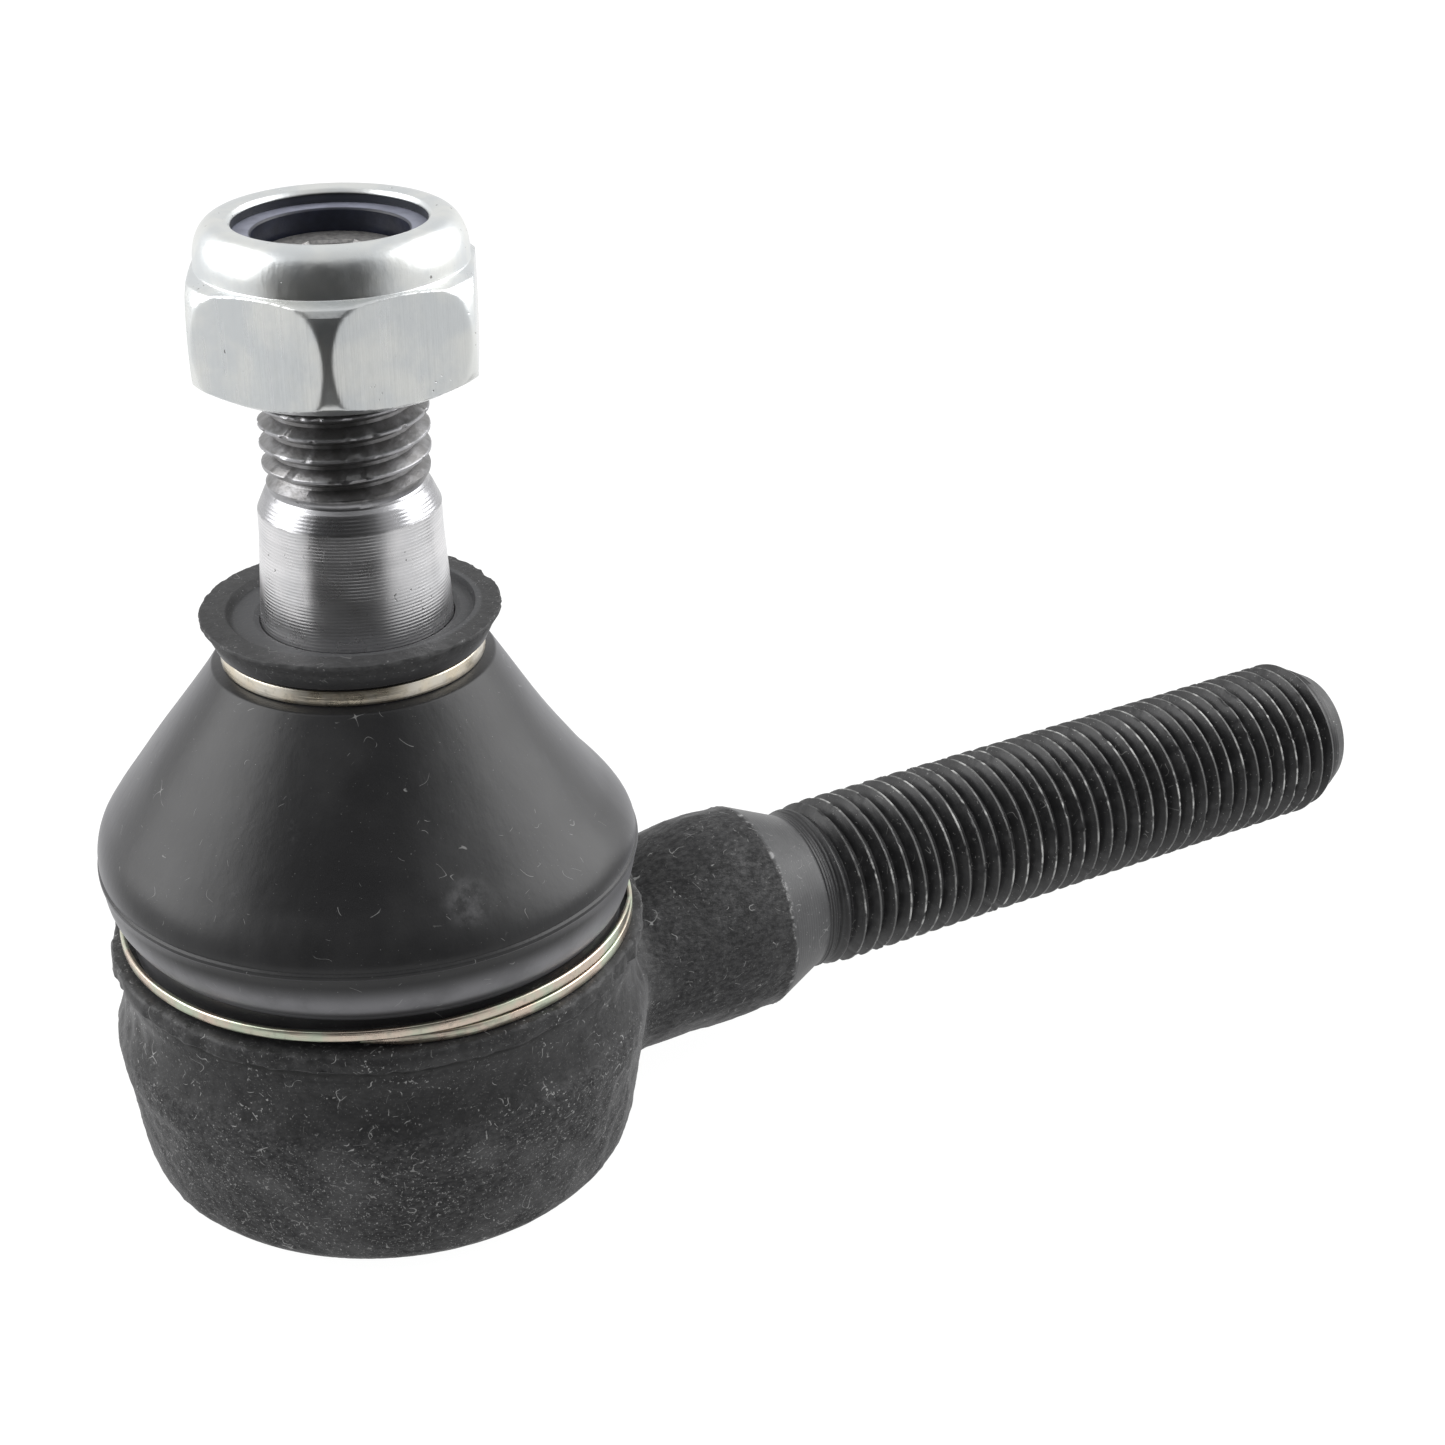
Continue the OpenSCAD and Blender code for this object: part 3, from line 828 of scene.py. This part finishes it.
def forging_finish():
    """Black phosphated forging with pale dust in its grain, and chipped thread crests."""
    f = Finish("forging_black", specular=0.45)
    shank_out = f.across(f.y, f.math("SUBTRACT", f.z, SHANK_Z))
    turned = f.fade(f.x, NECK_END - 0.15, NECK_END + 0.15)
    on_thread = f.fade(f.x, 37.6, 38.2)
    runout = f.both(f.fade(f.x, 36.3, 36.7), f.without(on_thread))
    on_head = f.without(f.fade(f.x, 18, 20))
    low = f.fall(f.z, 11.0, 13.5)
    band = f.both(f.fade(f.z, 13.0, 14.0), on_head)
    smoother = f.either(turned, f.both(band, f.fade(f.noise(3.0, 3.0, seed=5), 0.3, 0.6, 0.35, 0.8)))
    grain = f.noise(0.34, 4.0, (0.6, 0.8, 1.1), 1, coarse=0.65)
    pebbles = f.noise(1.3, 3.0, (0.7, 0.9, 1.1), 2)
    patches = f.noise(6.0, 3.0, seed=3)
    raw = f.without(smoother)

    f.shade = f.tint(f.fade(grain, 0.35, 0.7), (0.009, 0.009, 0.010), (0.034, 0.034, 0.035))
    f.coat(f.both(band, 0.55), (0.010, 0.010, 0.0105))
    worn = f.both(f.fade(patches, 0.46, 0.72), f.level(low, 0.2, 0.8))
    f.coat(worn, (0.062, 0.062, 0.063))
    # Painted sheen: the rough forging painted paler where it turns away from the eye, but not on the turned
    # neck
    f.coat(f.both(f.edge_on(0.55, 0.98), f.without(turned), 0.75), (0.115, 0.115, 0.117))
    heaps = f.fade(f.noise(3.6, 4.0, seed=8, coarse=0.65), 0.46, 0.62)
    dust = f.both(f.specks(0.26, 1.0, 7), f.either(heaps, f.both(low, 0.5)))
    dust = f.either(dust, f.both(f.specks(0.16, 1.0, 17), f.level(low, 0.25, 0.8)))
    marks = f.either(f.lint(3.0, 0.0055, 51, 0.60, 0.7), f.lint(2.2, 0.007, 61, 0.61, 0.55))
    marks = f.both(marks, f.either(heaps, f.level(low, 0.3, 0.7)))
    fibres = f.either(f.lint(1.1, 0.012, 11, 0.62), marks)
    dust = f.both(f.either(f.both(dust, f.level(on_head, 0.35, 1.0)), fibres), f.fade(f.x, 36, 37, 1.0, 0.25))
    f.coat(f.both(dust, 0.62), (0.40, 0.40, 0.395))

    # Painted shadow: a near-black line under the shoulder that the boot's hem sits on, broken up by noise
    under = f.both(f.band(f.z, 18.0, 18.3, 18.7, 18.85), on_head)
    painted_shadow_strength = f.fade(f.noise(1.5, 3.0, seed=26), 0.3, 0.5, 0.5, 1.0)
    f.coat(f.both(under, painted_shadow_strength), grey(0.002))

    # The turned cone, and the runout with its fine rings
    rings = f.rings(f.x, 0.3, 0.12, 4)
    cone = f.tint(f.noise(2.0, 5.0, seed=6, coarse=0.65), (0.026, 0.026, 0.028), (0.072, 0.073, 0.075))
    cone_dust = f.either(f.specks(0.22, 0.7, 27), f.lint(1.3, 0.010, 71, 0.62))
    cone = f.tint(f.both(cone_dust, 0.5), cone, grey(0.3))
    # Painted sheen: the turned cone painted paler where it turns away from the eye
    cone = f.tint(f.both(f.edge_on(0.5, 0.98), 0.6), cone, grey(0.16))
    cone = f.tint(f.both(runout, f.fade(rings, 0.3, 0.8, 1.0, 0.5)), cone, (0.010, 0.010, 0.011))
    f.coat(f.both(turned, f.without(on_thread), 0.9), cone)
    edge = f.band(f.x, NECK_END - 0.3, NECK_END, NECK_END, NECK_END + 0.4)
    chipped = f.both(edge, f.fade(f.noise(0.6, 4.0, seed=21, coarse=0.65), 0.5, 0.62))
    f.coat(f.both(chipped, 0.65), grey(0.38))

    # Bare metal here and there along the crests of the thread
    black = f.fade(f.noise(1.4, 4.0, seed=14), 0.4, 0.75)
    black = f.tint(black, (0.015, 0.015, 0.016), (0.036, 0.036, 0.037))
    f.coat(on_thread, black)
    crest = f.both(on_thread, f.fade(shank_out, SHANK_THREAD_R - 0.06, SHANK_THREAD_R - 0.01))
    knocks = f.fade(f.noise(4.0, 3.0, seed=15), 0.40, 0.66)
    knocks = f.both(knocks, f.fade(f.noise(0.8, 4.0, seed=16), 0.38, 0.62))
    bare = f.both(crest, f.fade(knocks, 0.0, 0.9, 0.16, 1.0))
    f.coat(f.both(bare, 0.85), (0.46, 0.46, 0.45))
    stray = f.both(on_thread, f.either(f.specks(0.22, 0.6, 24), f.lint(1.4, 0.008, 41, 0.64)))
    f.coat(f.both(stray, 0.55), (0.36, 0.36, 0.35))

    roughness = f.level(smoother, f.fade(grain, 0.3, 0.7, 0.74, 0.56), f.fade(patches, 0.3, 0.7, 0.54, 0.44))
    roughness = f.level(on_thread, roughness, 0.42)
    normal = f.bump(f.both(grain, raw), 0.10)
    normal = f.bump(f.both(pebbles, raw), 0.16, normal)
    normal = f.bump(f.both(rings, turned, f.level(runout, 0.15, 1.0)), 0.04, normal)
    return f.done(roughness, normal)


def boot_finish():
    """Satin black rubber with a little dust on it, a painted floor reflection above the hem and painted sheen
    at grazing angles, matt on the trimmed collar.
    """
    f = Finish("rubber_black", specular=0.4)
    collar = f.fade(f.z, 43.6, 44.6)
    recess = f.both(f.fall(f.across(f.x, f.y), 8.7, 9.0), collar)
    clouds = f.noise(8.0, 4.0, seed=1)
    fine = f.noise(0.5, 4.0, seed=2, coarse=0.6)
    f.shade = f.tint(f.fade(clouds, 0.4, 0.7), (0.013, 0.013, 0.014), (0.021, 0.021, 0.022))
    f.coat(f.both(collar, f.fade(fine, 0.3, 0.7, 0.5, 1.0)), (0.040, 0.040, 0.041))
    f.coat(recess, (0.066, 0.067, 0.070))
    scuff = f.both(f.fade(f.noise(4.0, 5.0, seed=5, coarse=0.7), 0.66, 0.74), f.fade(fine, 0.4, 0.6))
    smudge_at = FRONT + radians(20)
    smudge = f.node("VectorMath", {
        0: f.place, 1: (17.6 * cos(smudge_at), 17.6 * sin(smudge_at), 30.0),
    }, output=1, operation="DISTANCE")
    mottled = f.fade(f.noise(1.4, 5.0, seed=6, coarse=0.7), 0.38, 0.66)
    smudge = f.both(f.fall(smudge, 0.6, 2.4), mottled)
    scuff = f.either(f.both(scuff, 0.5), smudge)
    f.coat(f.both(scuff, 0.4), (0.14, 0.14, 0.145))
    # Painted reflection: a pale band low on the bulge, just above the hem, where the rubber would reflect the
    # bright floor; noise breaks it up
    painted_reflection_band = f.band(f.z, 22.8, 23.5, 23.8, 25.8)
    f.coat(f.both(painted_reflection_band, f.fade(f.noise(3.0, 4.0, seed=9), 0.3, 0.6, 0.7, 1.0)), (0.17, 0.17, 0.18))
    # Painted sheen: the rubber painted paler where it turns away from the eye, except on the collar
    f.coat(f.both(f.edge_on(0.45, 1.0), f.without(collar), 0.8), (0.16, 0.16, 0.17))
    hairs = f.either(f.lint(1.3, 0.009, 13, 0.65), f.lint(4.0, 0.003, 33, 0.66, 1.2))
    dust = f.either(f.both(f.specks(0.16, 0.2, 3), 0.8), hairs)
    dust = f.either(dust, f.both(collar, f.specks(0.2, 0.7, 23)))
    f.coat(f.both(dust, 0.42), (0.36, 0.36, 0.355))
    roughness = f.fade(clouds, 0.3, 0.7, 0.36, 0.44)
    roughness = f.level(collar, roughness, 0.58)
    roughness = f.level(f.both(scuff, 0.6), roughness, 0.7)
    flow = f.noise(1.6, 3.0, (1, 1, 0.15), 7)
    normal = f.bump(f.both(fine, f.fade(collar, 0.0, 1.0, 0.2, 1.0)), 0.05)
    normal = f.bump(flow, 0.03, normal)
    return f.done(roughness, normal)


def stud_finish():
    """Bright turned steel: fine rings on the taper, darker on the thread below its crests, a dull end."""
    f = Finish("steel_turned", 1.0)
    out = f.across(f.x, f.y)
    rings = f.rings(f.z, 0.24, 0.06, 11)
    ring_depth = f.fade(f.noise(2.4, 4.0, (1, 1, 0.4), 12), 0.35, 0.65, 0.35, 1.0)
    wide_rings = f.noise(0.5, 3.0, (0.03, 0.03, 1), 2)
    clouds = f.noise(3.0, 5.0, seed=3)
    fine = f.noise(0.35, 4.0, seed=4, coarse=0.65)
    on_taper = f.fall(f.z, SHOULDER_Z + 0.9, SHOULDER_Z + 1.3)
    on_thread = f.fade(f.z, 55.2, 55.6)
    end = f.fade(f.z, STUD_TOP - 0.35, STUD_TOP - 0.1)
    groove = f.both(on_thread, f.fall(out, STUD_THREAD_R - 0.12, STUD_THREAD_R - 0.02))

    f.shade = f.tint(f.fade(clouds, 0.35, 0.7), (0.42, 0.42, 0.435), (0.34, 0.34, 0.35))
    bright = f.tint(f.fade(clouds, 0.35, 0.7), (0.82, 0.81, 0.82), (0.72, 0.72, 0.735))
    bright = f.tint(f.both(f.fade(wide_rings, 0.42, 0.65), 0.35), bright, (0.60, 0.60, 0.61))
    bright = f.tint(f.both(rings, ring_depth, 0.45), bright, (0.45, 0.45, 0.46))
    f.coat(f.fall(f.z, SHOULDER_Z - 0.1, SHOULDER_Z + 0.1), bright)
    seam = f.band(f.z, SHOULDER_Z - 0.12, SHOULDER_Z, SHOULDER_Z, SHOULDER_Z + 0.12)
    f.coat(f.both(seam, f.fade(f.noise(1.6, 3.0, seed=13), 0.4, 0.6), 0.5), grey(0.12))
    # Darker on the thread's flanks and roots below the crests, in patches
    flank_darkening = f.both(groove, f.fade(f.noise(0.9, 4.0, seed=6), 0.3, 0.6, 0.5, 1.0))
    f.coat(f.both(flank_darkening, 0.75), (0.15, 0.145, 0.14))
    pits = f.fade(f.noise(0.36, 2.0, seed=8), 0.68, 0.72)
    pits = f.both(pits, f.fade(f.noise(3.0, 2.0, seed=9), 0.45, 0.6))
    pits = f.both(f.either(pits, f.lint(3.0, 0.003, 81, 0.68, 0.9)), f.without(on_thread))
    f.coat(f.both(pits, 0.7), (0.08, 0.075, 0.07))
    f.coat(f.both(end, f.fade(fine, 0.3, 0.7)), (0.42, 0.41, 0.40))
    socket = f.both(f.fall(out, 2.9, 3.0), f.fall(f.z, STUD_TOP - 0.3, STUD_TOP - 0.15))
    f.coat(f.both(socket, f.fade(f.z, 60, 62)), (0.05, 0.045, 0.04))

    roughness = f.level(on_thread, f.fade(clouds, 0.3, 0.7, 0.24, 0.34), 0.36)
    roughness = f.level(end, roughness, 0.5)
    normal = f.bump(f.both(rings, ring_depth, on_taper), 0.014)
    normal = f.bump(f.both(fine, on_thread), 0.03, normal)
    normal = f.bump(pits, -0.012, normal)
    return f.done(roughness, normal)


def ring_finish(name, seed, warm, cool):
    """Passivated zinc on flat wire, drifting between two faint colours."""
    f = Finish(name, 1.0)
    drift = f.noise(2.6, 3.0, seed=seed)
    lines = f.noise(0.16, 2.0, (0.05, 0.05, 1), seed + 1)
    f.shade = f.tint(f.fade(drift, 0.38, 0.62), warm, cool)
    f.coat(f.both(f.fade(f.noise(0.5, 4.0, seed=seed + 2), 0.5, 0.75), 0.5), (0.36, 0.34, 0.29))
    return f.done(f.fade(drift, 0.3, 0.7, 0.26, 0.36), f.bump(lines, 0.02))


def nut_finish():
    """Bright zinc with the drawn bar's lines on its flats and small pits on the collar."""
    f = Finish("zinc_bright", 1.0)
    drawn = f.noise(0.22, 3.0, (1, 1, 0.02), 1)
    broad = f.noise(1.8, 3.0, (1, 1, 0.08), 2)
    clouds = f.noise(3.5, 4.0, seed=3)
    out = f.across(f.x, f.y)
    collar = f.fade(f.z, NUT_LOW + 7.9, NUT_LOW + 8.3)
    inner = f.both(f.fall(out, 6.60, 6.72), f.fall(f.z, NUT_TOP - 0.5, NUT_TOP - 0.3))
    f.shade = f.tint(f.fade(clouds, 0.35, 0.65), (0.78, 0.79, 0.77), (0.68, 0.705, 0.715))
    f.coat(f.both(f.fade(drawn, 0.5, 0.8), 0.12, f.without(collar)), (0.5, 0.52, 0.52))
    pits = f.both(f.fade(f.noise(0.4, 2.0, seed=5), 0.70, 0.74), f.fade(f.noise(3.0, 2.0, seed=6), 0.5, 0.62))
    f.coat(f.both(pits, 0.75), (0.12, 0.11, 0.10))
    # Painted shade: the inner wall of the crimped rim, and the nut's inside below it, painted near black
    f.coat(f.both(inner, 0.9), (0.02, 0.022, 0.03))
    mottled = f.noise(0.8, 4.0, (1, 1, 0.5), seed=8)
    roughness = f.level(collar, f.fade(broad, 0.3, 0.7, 0.26, 0.34), f.fade(mottled, 0.3, 0.7, 0.31, 0.36))
    normal = f.bump(f.both(drawn, f.without(collar)), 0.008)
    normal = f.bump(f.both(f.noise(0.3, 2.0, (1, 1, 0.12), 9), collar), 0.007, normal)
    normal = f.bump(f.noise(0.7, 3.0, seed=7), 0.012, normal)
    normal = f.bump(pits, -0.04, normal)
    return f.done(roughness, normal)


def cap_finish():
    """Zinc plated pressing with faint scratches from the tool."""
    f = Finish("zinc_pressed", 1.0)
    clouds = f.noise(4.0, 4.0, seed=2)
    scratch = f.noise(0.3, 3.0, (0.06, 1, 1), 3)
    f.shade = f.tint(f.fade(clouds, 0.35, 0.7), (0.62, 0.64, 0.68), (0.50, 0.52, 0.56))
    f.coat(f.both(f.fade(scratch, 0.58, 0.75), 0.4), (0.4, 0.4, 0.41))
    normal = f.bump(scratch, 0.01, f.bump(f.noise(0.7, 3.0, seed=5), 0.02))
    return f.done(f.fade(clouds, 0.3, 0.7, 0.26, 0.40), normal)


def nylon_finish():
    """Dark blue nylon, with a painted highlight: its flat top face painted pale."""
    f = Finish("nylon_blue")
    out = f.across(f.x, f.y)
    top = f.both(f.fade(f.z, NYLON_TOP - 0.14, NYLON_TOP - 0.06), f.fade(out, 5.36, 5.5))
    clouds = f.noise(1.2, 4.0, seed=1)
    f.shade = f.tint(f.fade(clouds, 0.35, 0.7), (0.009, 0.011, 0.021), (0.015, 0.018, 0.034))
    # Painted highlight: the flat top face painted pale, a lit copy of the blue nylon
    f.coat(f.both(top, f.fade(clouds, 0.3, 0.6, 0.75, 1.0)), (0.23, 0.24, 0.30))
    return f.done(f.level(top, 0.42, 0.5), f.bump(f.noise(0.4, 3.0, seed=3), 0.02))


def plain_finish(name, dark, light, roughness, metallic=0.0):
    """A finish for pieces inside: two close shades, a little relief, uneven gloss."""
    f = Finish(name, metallic)
    clouds = f.noise(1.5, 4.0, seed=1)
    fine = f.noise(0.3, 3.0, seed=2)
    f.shade = f.tint(f.fade(clouds, 0.3, 0.7), dark, light)
    gloss = f.fade(fine, 0.3, 0.7, roughness - 0.06, roughness + 0.06)
    return f.done(gloss, f.bump(fine, 0.02))


# ---- the pieces on their bodies

def dress(piece, material, node, body=None):
    """Gives a piece its finish, hides the CAD node it stands in for, and lets it ride."""
    piece.data.materials.clear()
    piece.data.materials.append(material)
    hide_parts(node)
    if body:
        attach(piece, body)
    return piece


def repaint(node, material):
    """A better finish for a CAD node whose shape stays."""
    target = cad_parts[node]
    target.data.materials.clear()
    target.data.materials.append(material)
    target.data.shade_smooth()
    target.data.set_sharp_from_angle(angle=radians(30))


dress(make_housing(), forging_finish(), "housing", "housing")
dress(make_cap(), cap_finish(), "end_cap", "housing")
dress(make_stud(), stud_finish(), "ball_stud", "stud")
warm_zinc, cool_zinc = (0.74, 0.66, 0.52), (0.60, 0.66, 0.52)
dress(make_lower_ring(), ring_finish("zinc_lower", 3, (0.72, 0.60, 0.50), cool_zinc),
      "lower_clamp_ring", "housing")
dress(make_upper_ring(), ring_finish("zinc_upper", 9, warm_zinc, (0.74, 0.70, 0.62)),
      "upper_clamp_ring", "collar")
dress(make_nut(), nut_finish(), "lock_nut", "nut")
dress(make_nylon(), nylon_finish(), "nylon_insert", "nut_ring")

boot = dress(make_boot(), boot_finish(), "dust_boot")
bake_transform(boot)

acetal = plain_finish("acetal", (0.72, 0.70, 0.64), (0.82, 0.80, 0.74), 0.42)
repaint("lower_seat", acetal)
repaint("upper_seat", acetal)
repaint("cap_seal", plain_finish("rubber_seal", grey(0.012), grey(0.025), 0.55))
repaint("preload_spring", plain_finish("spring_steel", (0.20, 0.20, 0.21), (0.34, 0.34, 0.36), 0.35, 1.0))


# ---- stage, camera and light

def plain_mesh(name, points, faces):
    mesh = bpy.data.meshes.new(name)
    mesh.from_pydata([Vector(p) * MM for p in points], [], faces)
    made = placed(name, mesh)
    return made


def seen_or_lit(tree, place, seen, front, back):
    """One strength where the camera looks straight at a surface, and others where it only gives
    light: front on the camera's side of the object, and back beside and behind the object."""
    nodes = Nodes(tree)
    flat = nodes.node("VectorMath", {0: nodes.node("TexCoord", {}, place)}, operation="NORMALIZE")
    back_side = (-cos(FRONT), -sin(FRONT), 0)
    behind = nodes.node("VectorMath", {0: flat, 1: back_side}, "Value", operation="DOT_PRODUCT")
    lit = nodes.fade(behind, -0.25, 0.6, front, back)
    return nodes.level(nodes.node("LightPath", {}, "Is Camera Ray"), lit, seen)


def make_floor():
    size, shade = 3000, 0.10
    corners = [(-size, -size, 0), (size, -size, 0), (size, size, 0), (-size, size, 0)]
    floor = plain_mesh("floor", corners, [(0, 1, 2, 3)])
    white = bpy.data.materials.new("floor_white")
    white.use_nodes = True
    tree = white.node_tree
    inputs = tree.nodes["Principled BSDF"].inputs
    inputs["Base Color"].default_value = (*grey(shade), 1)
    inputs["Roughness"].default_value = 1.0
    inputs["Specular IOR Level"].default_value = 0.0
    inputs["Emission Color"].default_value = (1, 1, 1, 1)
    tree.links.new(seen_or_lit(tree, "Object", 0.97, 0.66, 0.82), inputs["Emission Strength"])
    floor.data.materials.append(white)


def make_card():
    """A dark curved card in front of the object, which gives its metal and rubber their dark middle.
    It turns clear towards its edges, stands a little left of the camera, and only reflections see it."""
    reach, near, half, top = 600, 74, radians(66), radians(60)
    columns, rows = 24, 12
    points = []
    for k in range(columns + 1):
        angle = -half + 2 * half * k / columns
        stations = [(near, 0.2)]
        stations += [(reach * cos(top * j / rows), reach * sin(top * j / rows) + 0.2)
                     for j in range(rows + 1)]
        points += [(out * cos(angle), out * sin(angle), z) for out, z in stations]
    per = rows + 2
    faces = [(per * k + j, per * k + j + 1, per * k + per + j + 1, per * k + per + j)
             for k in range(columns) for j in range(per - 1)]
    card = plain_mesh("dark_card", points, faces)
    card.rotation_euler.z = FRONT - radians(7)

    f = Finish("card_dark", specular=0.0)
    around = f.math("ARCTAN2", f.y, f.x)
    up = f.math("ARCTAN2", f.z, f.across(f.x, f.y))
    left = f.fade(around, radians(-56), radians(-44))
    right = f.fall(around, radians(34), radians(58))
    over = f.fall(up, radians(46), radians(60))
    f.feed(f.shader.inputs["Alpha"], f.both(left, right, over))
    f.shade = grey(0.03)
    card.data.materials.append(f.done(1.0))
    for rays in ("camera", "diffuse", "transmission", "volume_scatter", "shadow"):
        setattr(card, "visible_" + rays, False)


def make_window(name, angle_deg, target_x):
    """A large soft lamp beside the object, by its angle from the camera's side."""
    away, height, size, target_z, watts = 420, 260, 420, 40, 2
    angle = FRONT + radians(angle_deg)
    at = Vector((away * cos(angle), away * sin(angle), height))
    data = bpy.data.lights.new(name, "AREA")
    data.size = size * MM
    data.energy = watts
    lamp = placed(name, data)
    lamp.location = at * MM
    lamp.rotation_mode = "QUATERNION"
    lamp.rotation_quaternion = (Vector((target_x, 0, target_z)) - at).to_track_quat("-Z", "Y")


def make_camera():
    data = bpy.data.cameras.new("camera")
    data.lens = CAMERA_LENS
    data.sensor_width = 36
    data.clip_start, data.clip_end = 0.01, 20
    camera = placed("camera", data)
    flat = cos(CAMERA_DOWN)
    forward = Vector((flat * cos(CAMERA_HEADING), flat * sin(CAMERA_HEADING), -sin(CAMERA_DOWN)))
    right = forward.cross(Vector((0, 0, 1))).normalized()
    up = right.cross(forward)
    tilt_cos, tilt_sin = cos(CAMERA_ROLL), sin(CAMERA_ROLL)
    right, up = right * tilt_cos + up * tilt_sin, up * tilt_cos - right * tilt_sin
    turn = Matrix((right, up, -forward)).transposed().to_4x4()
    camera.matrix_world = Matrix.Translation(CAMERA_AT * MM) @ turn
    bpy.context.scene.camera = camera


def make_world():
    world = bpy.data.worlds.new("studio")
    world.use_nodes = True
    background = world.node_tree.nodes["Background"]
    background.inputs["Color"].default_value = (1, 1, 1, 1)
    tree = world.node_tree
    tree.links.new(seen_or_lit(tree, "Generated", 1.0, 0.72, 0.88), background.inputs["Strength"])
    bpy.context.scene.world = world
    bpy.context.scene.view_settings.view_transform = "Standard"


make_floor()
make_card()
make_world()
make_camera()
make_window("left_window", -95, 0)
make_window("right_window", 100, 20)
